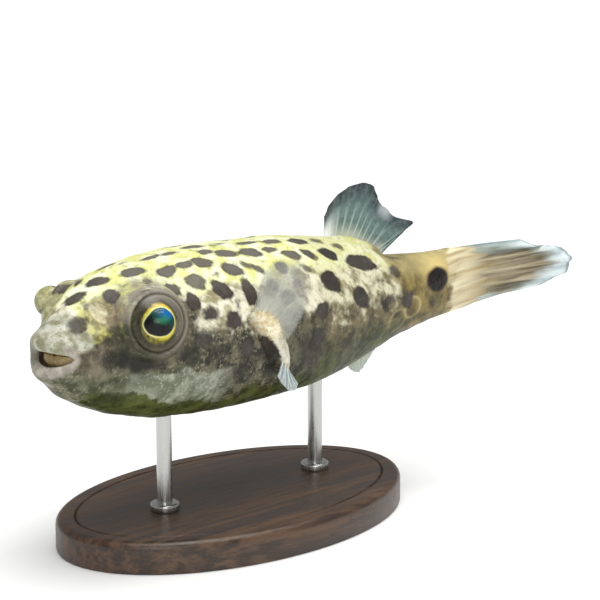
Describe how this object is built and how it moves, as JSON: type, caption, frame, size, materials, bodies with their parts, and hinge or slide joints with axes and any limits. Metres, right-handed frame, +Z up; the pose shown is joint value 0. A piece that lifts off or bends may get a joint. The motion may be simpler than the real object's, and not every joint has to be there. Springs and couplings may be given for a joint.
{
  "type": "freshwater pufferfish",
  "caption": "Life-size still model of a green spotted freshwater pufferfish with raised left fin and open mouth, on a low oval display stand.",
  "frame": {"origin": "middle of the stand's underside", "axes": "+Z up; -Y is the way the fish faces, so +Y runs back towards the tail; +X is the fish's left side, the one with the raised pectoral fin"},
  "size_m": [0.04, 0.1105, 0.0514],
  "materials": {
    "skin_olive": "moist fish skin, dark oval spots on yellow-green",
    "skin_cream": "moist fish skin, dark spots on cream",
    "skin_brown": "moist fish skin, yellow-brown with a black eyespot",
    "lip": "moist pinkish grey flesh",
    "beak": "smooth tan tooth plate",
    "eye": "clear wet eye with yellow iris and dark blue-green pupil",
    "fin_web": "thin translucent grey-green fin web on pale rays",
    "tail_web": "closed translucent tail fin, brown rays",
    "stand_wood": "dark satin wood",
    "stand_steel": "bright round rod"
  },
  "bodies": {
    "root": {"head": "skin_olive", "trunk": "skin_cream", "tail_stalk": "skin_brown", "lip_upper": "lip", "lip_lower": "lip", "beak_upper": "beak", "beak_lower": "beak", "eye_left": "eye", "eye_right": "eye", "fin_dorsal": "fin_web", "fin_anal": "fin_web", "fin_pectoral_left": "fin_web", "fin_pectoral_right": "fin_web", "fin_caudal": "tail_web", "stand_base": "stand_wood", "stand_rod_1": "stand_steel", "stand_rod_2": "stand_steel"}
  },
  "joints": []
}
